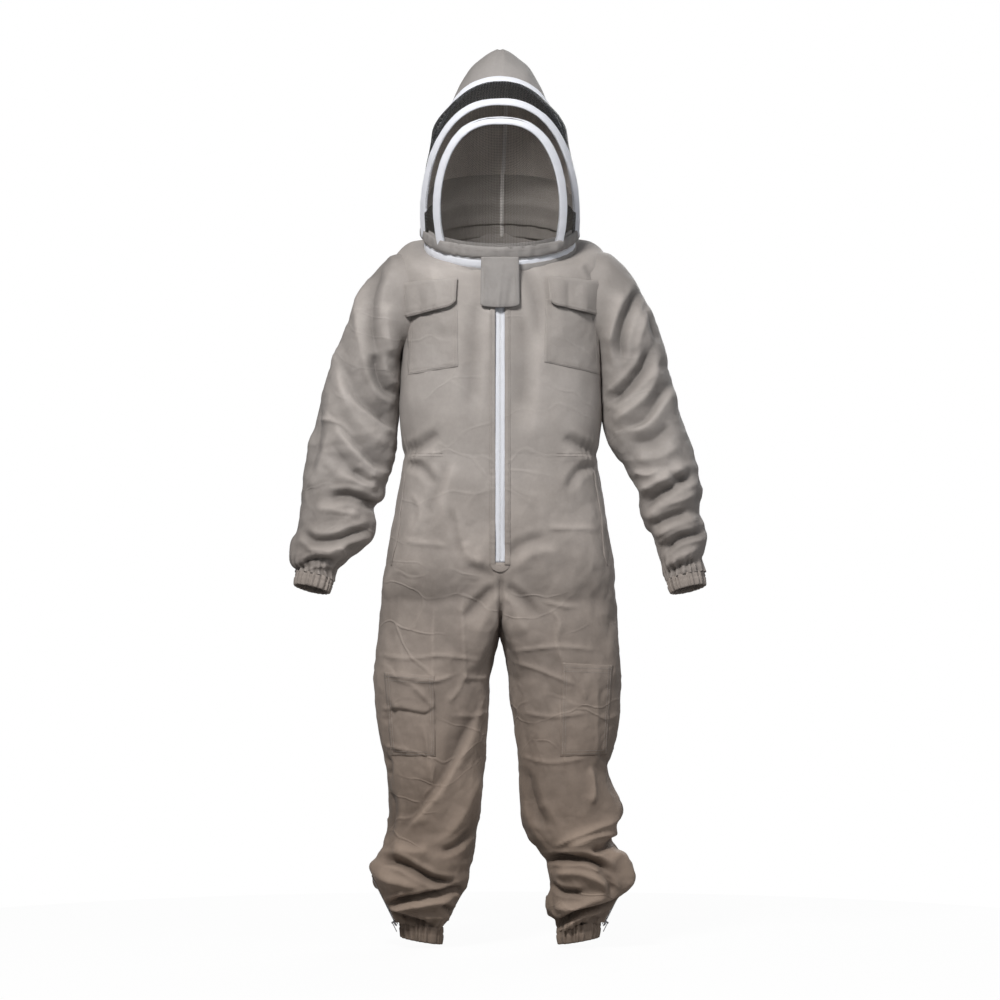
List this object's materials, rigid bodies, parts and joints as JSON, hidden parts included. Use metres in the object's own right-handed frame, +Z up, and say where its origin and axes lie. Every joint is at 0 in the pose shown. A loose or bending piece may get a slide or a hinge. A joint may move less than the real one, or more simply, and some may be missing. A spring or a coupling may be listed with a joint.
{
  "type": "beekeeping suit",
  "caption": "One-piece beekeeping suit in taupe cloth with a hooped mesh veil that zips on, a long front zip, chest pockets and elasticated cuffs.",
  "frame": {"origin": "on the mid-plane of the suit, at the height of the ankle hems", "axes": "+Z up, the front of the suit faces -Y, +X is the wearer's left"},
  "size_m": [0.8282, 0.3446, 1.7928],
  "materials": {
    "suit_cloth": "dull twill-woven polycotton",
    "white_tape": "bright woven tape with a slight sheen",
    "veil_mesh": "open black net",
    "hook_and_loop": "short pile",
    "elastic": "ribbed elastic",
    "zip_metal": "satin nickel",
    "sprung_rod": "plain drawn wire"
  },
  "bodies": {
    "suit": {"front_panel_left": "suit_cloth", "front_panel_right": "suit_cloth", "back_panel": "suit_cloth", "collar_band": "suit_cloth", "neck_zip_lower": "white_tape", "front_zip_left": "white_tape", "front_zip_right": "white_tape", "front_zip_bottom_stop": "zip_metal", "chest_pocket_left": "suit_cloth", "chest_pocket_right": "suit_cloth", "pocket_loop_patches": "hook_and_loop", "throat_loop_patch": "hook_and_loop", "waist_elastics": "elastic", "side_pocket_welts": "suit_cloth", "hang_loop": "suit_cloth"},
    "front_slider": {"front_zip_slider": "zip_metal", "front_zip_pull": "zip_metal"},
    "neck_slider": {"neck_zip_slider": "zip_metal", "neck_zip_pull": "zip_metal"},
    "throat": {"throat_flap": "suit_cloth", "throat_hook_patch": "hook_and_loop"},
    "flap_left": {"pocket_flap_left": "suit_cloth", "flap_hook_patch_left": "hook_and_loop"},
    "flap_right": {"pocket_flap_right": "suit_cloth", "flap_hook_patch_right": "hook_and_loop"},
    "arm_left": {"sleeve_left": "suit_cloth", "wrist_cuff_left": "suit_cloth", "wrist_elastic_left": "elastic"},
    "arm_right": {"sleeve_right": "suit_cloth", "wrist_cuff_right": "suit_cloth", "wrist_elastic_right": "elastic"},
    "trouser_left": {"leg_left": "suit_cloth", "leg_pocket_left": "suit_cloth", "ankle_cuff_left": "suit_cloth", "ankle_elastic_left": "elastic", "ankle_zip_left": "white_tape"},
    "trouser_right": {"leg_right": "suit_cloth", "leg_pocket_right": "suit_cloth", "ankle_cuff_right": "suit_cloth", "ankle_elastic_right": "elastic", "ankle_zip_right": "white_tape"},
    "ankle_slider_left": {"ankle_zip_slider_left": "zip_metal"},
    "ankle_slider_right": {"ankle_zip_slider_right": "zip_metal"},
    "ankle_pull_left": {"ankle_zip_pull_left": "zip_metal"},
    "ankle_pull_right": {"ankle_zip_pull_right": "zip_metal"},
    "hood": {"crown_left": "suit_cloth", "crown_right": "suit_cloth", "veil_rear": "veil_mesh", "veil_middle": "veil_mesh", "veil_front": "veil_mesh", "hoop_rear_tape": "white_tape", "hoop_middle_tape": "white_tape", "hoop_rear_rod": "sprung_rod", "hoop_middle_rod": "sprung_rod", "hood_band": "suit_cloth", "neck_zip_upper": "white_tape"},
    "front_hoop": {"hoop_front_tape": "white_tape", "hoop_front_rod": "sprung_rod"}
  },
  "joints": [
    {"name": "front_zip", "type": "slide", "parent": "suit", "child": "front_slider", "axis": [0, 0, -1], "range_m": [0, 0.553]},
    {"name": "neck_zip", "type": "hinge", "parent": "suit", "child": "neck_slider", "pos_m": [0, 0.01, 1.42], "axis": [0, 0.309, -0.9511], "range_deg": [0, 330]},
    {"name": "throat_flap_lift", "type": "hinge", "parent": "suit", "child": "throat", "pos_m": [0, -0.143, 1.381], "axis": [-1, 0, 0], "range_deg": [0, 140]},
    {"name": "pocket_flap_lift_left", "type": "hinge", "parent": "suit", "child": "flap_left", "pos_m": [0.08, -0.1375, 1.33], "axis": [-0.9272, -0.3746, 0], "range_deg": [0, 130]},
    {"name": "pocket_flap_lift_right", "type": "hinge", "parent": "suit", "child": "flap_right", "pos_m": [-0.08, -0.1375, 1.33], "axis": [-0.9272, 0.3746, 0], "range_deg": [0, 130]},
    {"name": "shoulder_left", "type": "hinge", "parent": "suit", "child": "arm_left", "pos_m": [0.212, 0.008, 1.312], "axis": [0, -1, 0], "range_deg": [0, 70]},
    {"name": "shoulder_right", "type": "hinge", "parent": "suit", "child": "arm_right", "pos_m": [-0.212, 0.008, 1.312], "axis": [0, 1, 0], "range_deg": [0, 70]},
    {"name": "hip_left", "type": "hinge", "parent": "suit", "child": "trouser_left", "pos_m": [0.113, 0, 0.735], "axis": [-1, 0, 0], "range_deg": [-20, 28]},
    {"name": "hip_right", "type": "hinge", "parent": "suit", "child": "trouser_right", "pos_m": [-0.113, 0, 0.735], "axis": [-1, 0, 0], "range_deg": [-20, 28]},
    {"name": "ankle_zip_left", "type": "slide", "parent": "trouser_left", "child": "ankle_slider_left", "axis": [0.4462, 0, 0.8949], "range_m": [0, 0.1]},
    {"name": "ankle_zip_right", "type": "slide", "parent": "trouser_right", "child": "ankle_slider_right", "axis": [-0.4462, 0, 0.8949], "range_m": [0, 0.1]},
    {"name": "ankle_pull_swing_left", "type": "hinge", "parent": "ankle_slider_left", "child": "ankle_pull_left", "pos_m": [0.21667, 0, 0.04551], "axis": [0, -1, 0], "range_deg": [0, 150]},
    {"name": "ankle_pull_swing_right", "type": "hinge", "parent": "ankle_slider_right", "child": "ankle_pull_right", "pos_m": [-0.21667, 0, 0.04551], "axis": [0, 1, 0], "range_deg": [0, 150]},
    {"name": "hood_tilt", "type": "hinge", "parent": "suit", "child": "hood", "pos_m": [0, 0.1571, 1.46885], "axis": [-1, 0, 0], "range_deg": [0, 105]},
    {"name": "front_hoop_fold", "type": "hinge", "parent": "hood", "child": "front_hoop", "pos_m": [0, -0.092, 1.4], "axis": [-1, 0, 0], "range_deg": [0, 10]}
  ]
}
